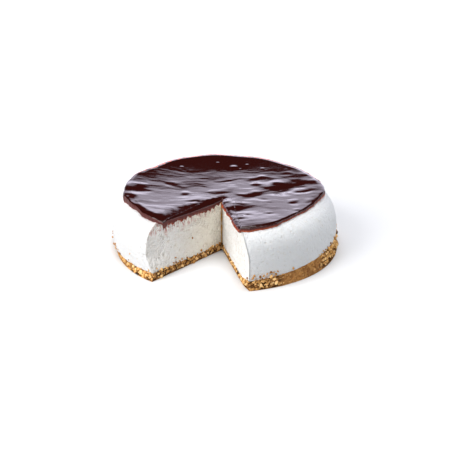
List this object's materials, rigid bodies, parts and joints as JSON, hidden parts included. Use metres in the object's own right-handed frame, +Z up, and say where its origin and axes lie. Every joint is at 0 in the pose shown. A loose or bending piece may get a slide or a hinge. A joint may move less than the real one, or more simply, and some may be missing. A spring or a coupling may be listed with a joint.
{
  "type": "cheesecake",
  "caption": "Round cheesecake with a raised crumb base, a deep pale filling, a dark fruit jelly top and a wedge slice cut out.",
  "frame": {"origin": "centre of the flat underside of the crumb base", "axes": "+Z up through the layers; the missing slice opens towards -Y"},
  "size_m": [0.2319, 0.2242, 0.0626],
  "materials": {
    "biscuit": "rough golden brown baked crumb",
    "cheese": "smooth pale cream, slightly satin",
    "fruit_jelly": "glossy very dark red"
  },
  "bodies": {
    "root": {"biscuit_base": "biscuit", "cheese_filling": "cheese", "fruit_topping": "fruit_jelly"}
  },
  "joints": []
}
